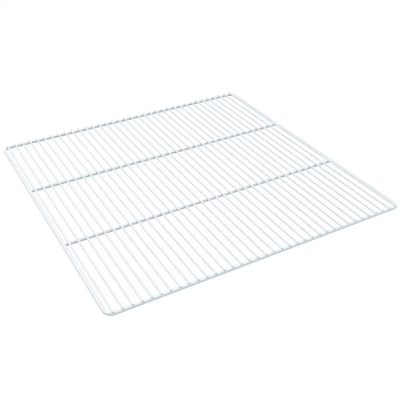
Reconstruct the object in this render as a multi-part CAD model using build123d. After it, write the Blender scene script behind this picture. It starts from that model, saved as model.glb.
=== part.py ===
from build123d import *
import os

# Refrigerator wire shelf: a bent frame wire, two cross wires and a deck of thin wires, welded and coated.
# The origin lies below the middle of the shelf, on the surface that the frame wire rests on.
# X runs across the shelf along the cross wires, Y to the rear along the deck wires, and Z up.
# Every size is in millimetres, and every wire's diameter includes its coating.

# Overall size, over the outside of the frame wire
SHELF_WIDTH = 584.0
SHELF_DEPTH = 584.0

# Frame wire: quarter-inch rod, bent round four corners and closed into one loop
FRAME_WIRE_DIAMETER = 6.4
FRAME_BEND_RADIUS = 12.8  # at the wire's centre line

# Cross wires: the same rod, between the side rails, with their tops level with the frame's top
CROSS_WIRE_NAMES = ("front", "rear")
CROSS_WIRE_DIAMETER = 6.4
CROSS_WELD_DEPTH = 1.2  # how far a cut end is pressed into the side rail

# Deck wires: thin wires from front to rear, on top of the frame and the cross wires
DECK_WIRE_COUNT = 36
DECK_WIRE_DIAMETER = 3.6
DECK_SIDE_MARGIN = 9.2  # from a side rail's centre line to the nearest deck wire's
DECK_END_OVERHANG = 2.6  # from the frame's centre line to the cut end, at front and rear
DECK_WELD_DEPTH = 0.8  # how far a deck wire is pressed into the wires below it

# Places that follow from the sizes above
frame_span_x = SHELF_WIDTH - FRAME_WIRE_DIAMETER
frame_span_y = SHELF_DEPTH - FRAME_WIRE_DIAMETER
frame_radius = FRAME_WIRE_DIAMETER / 2
cross_radius = CROSS_WIRE_DIAMETER / 2
deck_radius = DECK_WIRE_DIAMETER / 2
bay_depth = frame_span_y / (len(CROSS_WIRE_NAMES) + 1)
deck_pitch = (frame_span_x - 2 * DECK_SIDE_MARGIN) / (DECK_WIRE_COUNT - 1)
cross_height = FRAME_WIRE_DIAMETER - cross_radius
deck_height = FRAME_WIRE_DIAMETER - DECK_WELD_DEPTH + deck_radius


def make_frame_wire():
    """The closed loop: a round section swept along a rectangle with bent corners."""
    bend_path = RectangleRounded(frame_span_x, frame_span_y, FRAME_BEND_RADIUS).wire()
    section = (bend_path ^ 0) * Circle(frame_radius)
    loop = sweep(section, path=bend_path)
    return Pos(0, 0, frame_radius) * loop


def make_cross_wire(y, frame_wire):
    """A straight wire across the shelf, its square ends scooped where they are welded to the side rails."""
    length = frame_span_x - FRAME_WIRE_DIAMETER + 2 * CROSS_WELD_DEPTH
    rod = Cylinder(cross_radius, length, rotation=(0, 90, 0))
    return Pos(0, y, cross_height) * rod - frame_wire


def make_deck_wire(x, supports):
    """A straight wire from front to rear, with a saddle where it is welded on each wire that it crosses."""
    length = frame_span_y + 2 * DECK_END_OVERHANG
    rod = Cylinder(deck_radius, length, rotation=(90, 0, 0))
    return Pos(x, 0, deck_height) * rod - supports


parts = {"frame_wire": make_frame_wire()}

for bay, name in enumerate(CROSS_WIRE_NAMES, start=1):
    y = -frame_span_y / 2 + bay * bay_depth
    parts[f"cross_wire_{name}"] = make_cross_wire(y, parts["frame_wire"])

supports = list(parts.values())
for number in range(DECK_WIRE_COUNT):
    x = -frame_span_x / 2 + DECK_SIDE_MARGIN + number * deck_pitch
    parts[f"deck_wire_{number + 1:02d}"] = make_deck_wire(x, supports)

os.makedirs("parts", exist_ok=True)
for name, part in parts.items():
    export_step(part, f"parts/{name}.step")
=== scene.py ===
import math

import bmesh
import bpy
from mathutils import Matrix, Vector


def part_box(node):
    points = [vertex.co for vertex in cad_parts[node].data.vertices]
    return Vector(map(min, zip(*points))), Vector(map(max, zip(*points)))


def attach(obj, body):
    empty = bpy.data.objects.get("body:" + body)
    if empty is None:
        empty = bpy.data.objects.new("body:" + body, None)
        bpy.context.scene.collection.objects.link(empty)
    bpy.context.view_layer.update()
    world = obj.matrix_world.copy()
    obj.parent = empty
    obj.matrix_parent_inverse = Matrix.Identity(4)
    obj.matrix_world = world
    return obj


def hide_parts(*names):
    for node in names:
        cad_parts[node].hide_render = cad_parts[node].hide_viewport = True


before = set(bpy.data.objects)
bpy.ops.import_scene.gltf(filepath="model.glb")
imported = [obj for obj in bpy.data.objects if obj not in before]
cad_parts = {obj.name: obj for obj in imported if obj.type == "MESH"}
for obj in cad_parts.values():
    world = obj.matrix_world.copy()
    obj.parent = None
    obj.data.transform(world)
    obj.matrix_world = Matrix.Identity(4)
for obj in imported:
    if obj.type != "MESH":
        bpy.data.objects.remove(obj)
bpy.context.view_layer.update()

# A welded wire shelf under one white coating. Each wire of the solid model is replaced by a finer one
# with the same axis and diameter, and with the fillet that the coating leaves round every weld.
# All sizes are in metres.
MM = 0.001

# Sizes that the boxes of the nodes don't give
FRAME_BEND_RADIUS = 12.8 * MM  # at the wire's centre line
DECK_FILLET = 0.6 * MM  # the coating's fillet between a deck wire and the wire below it
CROSS_FILLET = 1.2 * MM  # the fillet where a cross wire meets a side rail
DECK_END_ROUNDING = 0.5 * MM  # the coating rounds the edge of a cut end
FILLET_SINK = 0.02 * MM  # a fillet's foot goes this far below the surface that it stands on

# How finely the meshes are divided
FRAME_SIDES = 64
BEND_STEPS = 24
CROSS_SIDES = 64
DECK_SIDES = 32
FILLET_STEPS = 5
WRAP_STEPS = 4  # rings between a fillet's upper edge and the plain part of a deck wire
RIM_STEPS = 5
END_RING_INSET = 0.45  # a cut end's inner ring, as a share of the way from the rim to the middle
PATCH_HALF_LENGTH = 7.35 * MM  # the stretch of deck wire, each way from a weld, that takes up a fillet
PATCH_SPACING = 1.05 * MM
SEARCH_STEPS = 40  # halvings that find where a fillet starts on a deck wire
STRAIGHT_ARC = 1e-4  # radians; a fillet's arc that turns by less is drawn straight
SHARP_ANGLE = math.radians(40)  # an edge that turns by more stays sharp

# Coating: each noise has its scale, in a metre, and its detail
COAT_DARKEST = (0.887, 0.905, 0.918, 1.0)
COAT_PALEST = (0.917, 0.935, 0.948, 1.0)
TONE_NOISE = (38.0, 3.0)
ROUGHNESS_LEAST = 0.38
ROUGHNESS_MOST = 0.54
GLOSS_NOISE = (120.0, 4.0)
PEEL_HEIGHT = 0.25 * MM
PEEL_STRENGTH = 0.6
PEEL_NOISE = (600.0, 2.0)

# Camera: the viewpoint of the photograph
CAMERA_PLACE = (-0.49079, -0.92299, 0.64270)
CAMERA_AIM = (-0.02354, -0.09670, 0.00740)
CAMERA_ROLL = math.radians(-0.0749)
CAMERA_LENS = 55.22  # millimetres, as is the sensor's width
CAMERA_SENSOR = 36.0
CAMERA_NEAR = 10 * MM  # nothing closer to the camera than this is drawn

# Light and floor
LAMP_PLACE = (0.0, 0.0, 2.4)
LAMP_SIZE = 2.5
LAMP_POWER = 8.0  # watts
SKY_SIDE_COLOUR = (1.0, 0.99, 0.98, 1.0)
SKY_END_COLOUR = (0.80, 0.89, 0.98, 1.0)  # in front and behind
SKY_STRENGTH = 0.78  # at the horizon, to the left and to the right
SKY_OVERHEAD_GAIN = 0.41  # how much brighter the sky is overhead
SKY_END_LOSS = 0.37  # how much dimmer it is in front and behind
WHITE = (1.0, 1.0, 1.0, 1.0)
FLOOR_SIZE = 12.0
FLOOR_COLOUR = (0.26, 0.40, 0.42, 1.0)  # as it lights the object from below
FLOOR_SHADOW = 0.08  # how much of the white floor takes shadow

# Places that follow from the frame wire
frame_low, frame_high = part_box("frame_wire")
frame_radius = (frame_high.z - frame_low.z) / 2
frame_height = (frame_high.z + frame_low.z) / 2
half_span_x = (frame_high.x - frame_low.x) / 2 - frame_radius
half_span_y = (frame_high.y - frame_low.y) / 2 - frame_radius

# The other wires; the cross wires come in order from front to rear
cross_names = sorted(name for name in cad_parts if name.startswith("cross_wire"))
deck_names = sorted(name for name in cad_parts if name.startswith("deck_wire"))


def make_piece(name, points, faces, material):
    """A closed, smoothly shaded mesh that stands for the node of the same name."""
    mesh = bpy.data.meshes.new(name)
    mesh.from_pydata(points, [], faces)
    work = bmesh.new()
    work.from_mesh(mesh)
    unused = [vert for vert in work.verts if not vert.link_faces]
    bmesh.ops.delete(work, geom=unused, context="VERTS")
    bmesh.ops.recalc_face_normals(work, faces=work.faces)
    work.to_mesh(mesh)
    work.free()
    mesh.shade_smooth()
    mesh.set_sharp_from_angle(angle=SHARP_ANGLE)
    mesh.materials.append(material)
    piece = bpy.data.objects.new(f"coated_{name}", mesh)
    bpy.context.scene.collection.objects.link(piece)
    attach(piece, "root")
    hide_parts(name)


def ring_faces(first, second):
    """Quads between two closed rings of as many points."""
    count = len(first)
    faces = []
    for i in range(count):
        j = (i + 1) % count
        faces.append((first[i], first[j], second[j], second[i]))
    return faces


def fillet_arc(centre, start, end, radius):
    """Points of the fillet's arc about its centre, from one touching point to the other."""
    first = (start - centre).normalized()
    last = (end - centre).normalized()
    angle = first.angle(last, 0.0)
    points = []
    for step in range(1, FILLET_STEPS + 1):
        share = step / FILLET_STEPS
        if angle < STRAIGHT_ARC:
            direction = first.lerp(last, share)
        else:
            direction = first * math.sin((1 - share) * angle) + last * math.sin(share * angle)
        points.append(centre + direction.normalized() * radius)
    return points


def nearest_on_frame(point):
    """The point of the frame's centre line that is nearest to a point, bends included."""
    corner = Vector((half_span_x - FRAME_BEND_RADIUS, half_span_y - FRAME_BEND_RADIUS))
    place = Vector((abs(point.x), abs(point.y)))
    if place.x <= corner.x:
        place.y = half_span_y
    elif place.y <= corner.y:
        place.x = half_span_x
    else:
        place = corner + (place - corner).normalized() * FRAME_BEND_RADIUS
    return Vector((math.copysign(place.x, point.x), math.copysign(place.y, point.y), frame_height))


def nearest_on_cross_wire(y, height):
    """A function that gives the point of a cross wire's centre line that is nearest to a point."""
    return lambda point: Vector((point.x, y, height))


def make_frame_wire(material):
    """The bent loop, swept ring by ring along its centre line."""
    stations = []
    corner_x = half_span_x - FRAME_BEND_RADIUS
    corner_y = half_span_y - FRAME_BEND_RADIUS
    for quarter, (side_x, side_y) in enumerate(((1, 1), (-1, 1), (-1, -1), (1, -1))):
        for step in range(BEND_STEPS + 1):
            angle = math.radians(90) * (quarter + step / BEND_STEPS)
            outward = Vector((math.cos(angle), math.sin(angle), 0))
            middle = Vector((side_x * corner_x, side_y * corner_y, frame_height))
            stations.append((middle + outward * FRAME_BEND_RADIUS, outward))
    points = []
    rings = []
    for centre, outward in stations:
        ring = []
        for i in range(FRAME_SIDES):
            angle = 2 * math.pi * i / FRAME_SIDES
            upward = Vector((0, 0, math.sin(angle)))
            ring.append(len(points))
            points.append(centre + frame_radius * (outward * math.cos(angle) + upward))
        rings.append(ring)
    faces = []
    for i, ring in enumerate(rings):
        faces += ring_faces(ring, rings[(i + 1) % len(rings)])
    make_piece("frame_wire", points, faces, material)


def make_cross_wire(name, material):
    """A straight wire whose two ends run out into the side rails in a fillet."""
    low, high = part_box(name)
    radius = (high.z - low.z) / 2
    y = (low.y + high.y) / 2
    z = (low.z + high.z) / 2
    reach = radius + CROSS_FILLET
    points = []
    ends = []
    for side in (-1, 1):
        rail_x = side * half_span_x
        arcs = []
        for i in range(CROSS_SIDES):
            # The rail is as thick and as high as the wire, so a fillet's centre is as far from both axes
            angle = 2 * math.pi * (i + 0.5) / CROSS_SIDES
            normal = Vector((0, math.cos(angle), math.sin(angle)))
            centre = Vector((rail_x - side * reach * abs(math.cos(angle)), y, z)) + normal * reach
            rail_axis = Vector((rail_x, centre.y, frame_height))
            start = centre - normal * CROSS_FILLET
            foot = rail_axis + (centre - rail_axis).normalized() * (frame_radius - FILLET_SINK)
            arcs.append([start] + fillet_arc(centre, start, foot, CROSS_FILLET)[:-1] + [foot])
        rings = []
        for step in range(FILLET_STEPS + 1):
            ring = []
            for arc in arcs:
                ring.append(len(points))
                points.append(arc[step])
            rings.append(ring)
        ends.append(rings)

    faces = ring_faces(ends[0][0], ends[1][0])
    for side, rings in zip((-1, 1), ends):
        for inner, outer in zip(rings, rings[1:]):
            faces += ring_faces(inner, outer)
        scoop = len(points)
        points.append(Vector((side * (half_span_x - frame_radius + FILLET_SINK), y, z)))
        last = rings[-1]
        for i in range(CROSS_SIDES):
            faces.append((last[i], last[(i + 1) % CROSS_SIDES], scoop))
    make_piece(name, points, faces, material)


def make_deck_wire(name, supports, material):
    """A straight wire with rounded cut ends and a filleted foot on each wire that it crosses."""
    low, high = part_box(name)
    radius = (high.z - low.z) / 2
    x = (low.x + high.x) / 2
    z = (low.z + high.z) / 2
    half_length = (high.y - low.y) / 2
    middle_y = (low.y + high.y) / 2
    straight_half = half_length - DECK_END_ROUNDING
    rim_length = DECK_END_ROUNDING * math.pi / 2
    disc_radius = radius - DECK_END_ROUNDING
    underside = math.radians(270)

    def on_surface(angle, length):
        """Point and normal at an angle round the wire and a length along it, unrolled over its ends."""
        side = math.copysign(1, length - middle_y)
        beyond = abs(length - middle_y) - straight_half
        tilt = min(max(beyond / DECK_END_ROUNDING, 0), math.pi / 2)
        across = disc_radius + DECK_END_ROUNDING * math.cos(tilt) - max(beyond - rim_length, 0)
        if beyond <= 0:
            y = length
        else:
            y = middle_y + side * (straight_half + DECK_END_ROUNDING * math.sin(tilt))
        round_the_axis = Vector((math.cos(angle), 0, math.sin(angle)))
        point = Vector((x, y, z)) + round_the_axis * across
        normal = round_the_axis * math.cos(tilt) + Vector((0, side * math.sin(tilt), 0))
        return point, normal

    def foot_column(angle, length, weld_y, nearest, support_radius):
        """Points from a foot's outline in towards the weld, then down the fillet to the wire below."""
        turn = angle - underside
        run = length - weld_y
        inside = 0.0
        outside = 1.0
        for _ in range(SEARCH_STEPS):
            share = (inside + outside) / 2
            point, normal = on_surface(underside + share * turn, weld_y + share * run)
            centre = point + normal * DECK_FILLET
            if (centre - nearest(centre)).length < support_radius + DECK_FILLET:
                inside = share
            else:
                outside = share
        axis_point = nearest(centre)
        foot = axis_point + (centre - axis_point).normalized() * (support_radius - FILLET_SINK)
        column = []
        for step in range(1, WRAP_STEPS + 1):
            part = 1 + (share - 1) * step / WRAP_STEPS
            column.append(on_surface(underside + part * turn, weld_y + part * run)[0])
        return column + fillet_arc(centre, point, foot, DECK_FILLET)[:-1] + [foot]

    # Lengths at which the wire has a ring of points, and the stretch of rings that each foot takes up
    end_lengths = [rim_length + disc_radius * END_RING_INSET]
    end_lengths += [rim_length * step / RIM_STEPS for step in range(RIM_STEPS, 0, -1)]
    lengths = []
    patches = []
    for number, (weld_y, nearest, support_radius) in enumerate(supports):
        start = weld_y - PATCH_HALF_LENGTH
        end = weld_y + PATCH_HALF_LENGTH
        first_ring = len(lengths)
        if number == 0:
            start = middle_y - straight_half
            lengths += [start - extra for extra in end_lengths]
        if number == len(supports) - 1:
            end = middle_y + straight_half
        steps = max(1, round((end - start) / PATCH_SPACING))
        lengths += [start + (end - start) * step / steps for step in range(steps + 1)]
        if number == len(supports) - 1:
            lengths += [end + extra for extra in reversed(end_lengths)]
        patches.append((first_ring, len(lengths) - 1, weld_y, nearest, support_radius))

    half_turn = DECK_SIDES // 2
    angles = [2 * math.pi * i / DECK_SIDES for i in range(DECK_SIDES + 1)]
    points = []
    rings = []
    for length in lengths:
        ring = []
        for angle in angles[:-1]:
            ring.append(len(points))
            points.append(on_surface(angle, length)[0])
        rings.append(ring + ring[:1])

    # Plain faces: all round between the feet, over the upper half above them, and at the cut ends
    faces = []
    above_feet = {ring for first, last, *_ in patches for ring in range(first, last)}
    for i in range(len(rings) - 1):
        columns = half_turn if i in above_feet else DECK_SIDES
        for j in range(columns):
            faces.append((rings[i][j], rings[i][j + 1], rings[i + 1][j + 1], rings[i + 1][j]))
    for ring, side in ((rings[0], -1), (rings[-1], 1)):
        centre = len(points)
        points.append(Vector((x, middle_y + side * half_length, z)))
        for j in range(DECK_SIDES):
            faces.append((ring[j], ring[j + 1], centre))

    # Feet: each closes the lower half of its patch, from the patch's outline down to the wire below
    for first, last, weld_y, nearest, support_radius in patches:
        outline = [(first, j) for j in range(half_turn, DECK_SIDES)]
        outline += [(i, DECK_SIDES) for i in range(first, last)]
        outline += [(last, j) for j in range(DECK_SIDES, half_turn, -1)]
        outline += [(i, half_turn) for i in range(last, first, -1)]
        columns = []
        for i, j in outline:
            columns.append(foot_column(angles[j], lengths[i], weld_y, nearest, support_radius))
        previous = [rings[i][j] for i, j in outline]
        for step in range(WRAP_STEPS + FILLET_STEPS):
            ring = []
            for column in columns:
                ring.append(len(points))
                points.append(column[step])
            faces += ring_faces(previous, ring)
            previous = ring
        saddle = len(points)
        points.append(nearest(Vector((x, weld_y, z))) + Vector((0, 0, support_radius - FILLET_SINK)))
        for i in range(len(previous)):
            faces.append((previous[i], previous[(i + 1) % len(previous)], saddle))
    make_piece(name, points, faces, material)


def make_coating():
    """Satin white: faint unevenness of colour and gloss, and the fine orange peel of a baked coat."""
    material = bpy.data.materials.new("satin_white_coating")
    material.use_nodes = True
    nodes = material.node_tree.nodes
    links = material.node_tree.links
    shader = nodes["Principled BSDF"]
    place = nodes.new("ShaderNodeTexCoord")

    def noise(scale, detail):
        node = nodes.new("ShaderNodeTexNoise")
        node.inputs["Scale"].default_value = scale
        node.inputs["Detail"].default_value = detail
        links.new(place.outputs["Object"], node.inputs["Vector"])
        return node

    tone = noise(*TONE_NOISE)
    colour = nodes.new("ShaderNodeMix")
    colour.data_type = "RGBA"
    colour.inputs["A"].default_value = COAT_DARKEST
    colour.inputs["B"].default_value = COAT_PALEST
    links.new(tone.outputs["Fac"], colour.inputs["Factor"])
    links.new(colour.outputs["Result"], shader.inputs["Base Color"])

    gloss = noise(*GLOSS_NOISE)
    roughness = nodes.new("ShaderNodeMapRange")
    roughness.inputs["To Min"].default_value = ROUGHNESS_LEAST
    roughness.inputs["To Max"].default_value = ROUGHNESS_MOST
    links.new(gloss.outputs["Fac"], roughness.inputs["Value"])
    links.new(roughness.outputs["Result"], shader.inputs["Roughness"])

    peel = noise(*PEEL_NOISE)
    bump = nodes.new("ShaderNodeBump")
    bump.inputs["Strength"].default_value = PEEL_STRENGTH
    bump.inputs["Distance"].default_value = PEEL_HEIGHT
    links.new(peel.outputs["Fac"], bump.inputs["Height"])
    links.new(bump.outputs["Normal"], shader.inputs["Normal"])
    return material


def white_to_the_camera(tree, seen, lit):
    """Mixes a shader that is seen, also mirrored or through glass, with one that lights the object."""
    nodes = tree.nodes
    path = nodes.new("ShaderNodeLightPath")
    either = nodes.new("ShaderNodeMath")
    either.operation = "MAXIMUM"
    any_of_three = nodes.new("ShaderNodeMath")
    any_of_three.operation = "MAXIMUM"
    mix = nodes.new("ShaderNodeMixShader")
    tree.links.new(path.outputs["Is Camera Ray"], either.inputs[0])
    tree.links.new(path.outputs["Is Glossy Ray"], either.inputs[1])
    tree.links.new(either.outputs[0], any_of_three.inputs[0])
    tree.links.new(path.outputs["Is Transmission Ray"], any_of_three.inputs[1])
    tree.links.new(any_of_three.outputs[0], mix.inputs[0])
    tree.links.new(lit.outputs[0], mix.inputs[1])
    tree.links.new(seen.outputs[0], mix.inputs[2])
    return mix


def make_floor():
    """A plain pale floor: white as it is seen, with the object's faint shadow on it."""
    mesh = bpy.data.meshes.new("floor")
    half = FLOOR_SIZE / 2
    corners = [(-half, -half, 0), (half, -half, 0), (half, half, 0), (-half, half, 0)]
    mesh.from_pydata(corners, [], [(0, 1, 2, 3)])
    floor = bpy.data.objects.new("floor", mesh)
    bpy.context.scene.collection.objects.link(floor)
    material = bpy.data.materials.new("floor")
    material.use_nodes = True
    tree = material.node_tree
    tree.nodes.clear()
    glow = tree.nodes.new("ShaderNodeEmission")
    glow.inputs["Color"].default_value = WHITE
    pale = tree.nodes.new("ShaderNodeBsdfDiffuse")
    pale.inputs["Color"].default_value = WHITE
    seen = tree.nodes.new("ShaderNodeMixShader")
    seen.inputs[0].default_value = FLOOR_SHADOW
    tree.links.new(glow.outputs[0], seen.inputs[1])
    tree.links.new(pale.outputs[0], seen.inputs[2])
    lit = tree.nodes.new("ShaderNodeBsdfDiffuse")
    lit.inputs["Color"].default_value = FLOOR_COLOUR
    output = tree.nodes.new("ShaderNodeOutputMaterial")
    tree.links.new(white_to_the_camera(tree, seen, lit).outputs[0], output.inputs["Surface"])
    mesh.materials.append(material)


def make_sky():
    """A soft dome of light, dimmer and cooler in front and behind, and white to the camera."""
    world = bpy.data.worlds.new("studio")
    bpy.context.scene.world = world
    world.use_nodes = True
    tree = world.node_tree
    tree.nodes.clear()
    seen = tree.nodes.new("ShaderNodeBackground")
    seen.inputs["Color"].default_value = WHITE
    lit = tree.nodes.new("ShaderNodeBackground")
    direction = tree.nodes.new("ShaderNodeTexCoord")
    along = tree.nodes.new("ShaderNodeSeparateXYZ")
    tree.links.new(direction.outputs["Generated"], along.inputs["Vector"])

    # 0 to the sides and overhead, 1 straight in front and behind
    toward_ends = tree.nodes.new("ShaderNodeMath")
    toward_ends.operation = "MULTIPLY"
    tree.links.new(along.outputs["Y"], toward_ends.inputs[0])
    tree.links.new(along.outputs["Y"], toward_ends.inputs[1])

    tint = tree.nodes.new("ShaderNodeMix")
    tint.data_type = "RGBA"
    tint.inputs["A"].default_value = SKY_SIDE_COLOUR
    tint.inputs["B"].default_value = SKY_END_COLOUR
    tree.links.new(toward_ends.outputs["Value"], tint.inputs["Factor"])
    tree.links.new(tint.outputs["Result"], lit.inputs["Color"])

    upward = tree.nodes.new("ShaderNodeMath")
    upward.operation = "MULTIPLY_ADD"
    upward.inputs[1].default_value = SKY_OVERHEAD_GAIN
    upward.inputs[2].default_value = SKY_STRENGTH
    tree.links.new(along.outputs["Z"], upward.inputs[0])
    strength = tree.nodes.new("ShaderNodeMath")
    strength.operation = "MULTIPLY_ADD"
    strength.inputs[1].default_value = -SKY_END_LOSS
    tree.links.new(toward_ends.outputs["Value"], strength.inputs[0])
    tree.links.new(upward.outputs["Value"], strength.inputs[2])
    tree.links.new(strength.outputs["Value"], lit.inputs["Strength"])
    output = tree.nodes.new("ShaderNodeOutputWorld")
    tree.links.new(white_to_the_camera(tree, seen, lit).outputs[0], output.inputs["Surface"])


def make_lamp():
    """One large soft lamp above the shelf, aimed at its middle."""
    light = bpy.data.lights.new("lamp", "AREA")
    light.shape = "SQUARE"
    light.size = LAMP_SIZE
    light.energy = LAMP_POWER
    lamp = bpy.data.objects.new("lamp", light)
    lamp.location = LAMP_PLACE
    lamp.rotation_euler = (-Vector(LAMP_PLACE)).to_track_quat("-Z", "Y").to_euler()
    bpy.context.scene.collection.objects.link(lamp)


def make_camera():
    """The photograph's viewpoint, with no depth of field."""
    lens = bpy.data.cameras.new("camera")
    lens.lens = CAMERA_LENS
    lens.sensor_width = CAMERA_SENSOR
    lens.clip_start = CAMERA_NEAR
    camera = bpy.data.objects.new("camera", lens)
    camera.location = CAMERA_PLACE
    line_of_sight = Vector(CAMERA_AIM) - Vector(CAMERA_PLACE)
    camera.rotation_euler = line_of_sight.to_track_quat("-Z", "Y").to_euler()
    camera.rotation_euler.rotate_axis("Z", CAMERA_ROLL)
    bpy.context.scene.collection.objects.link(camera)
    bpy.context.scene.camera = camera


coating = make_coating()
make_frame_wire(coating)
for cross_name in cross_names:
    make_cross_wire(cross_name, coating)

# The wires below a deck wire, from front to rear: the weld's place, the wire's axis and its radius
deck_supports = [(-half_span_y, nearest_on_frame, frame_radius)]
for cross_name in cross_names:
    cross_low, cross_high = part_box(cross_name)
    cross_y = (cross_low.y + cross_high.y) / 2
    cross_z = (cross_low.z + cross_high.z) / 2
    cross_radius = (cross_high.z - cross_low.z) / 2
    deck_supports.append((cross_y, nearest_on_cross_wire(cross_y, cross_z), cross_radius))
deck_supports.append((half_span_y, nearest_on_frame, frame_radius))
for deck_name in deck_names:
    make_deck_wire(deck_name, deck_supports, coating)

make_floor()
make_sky()
make_lamp()
make_camera()
bpy.context.scene.view_settings.view_transform = "Standard"
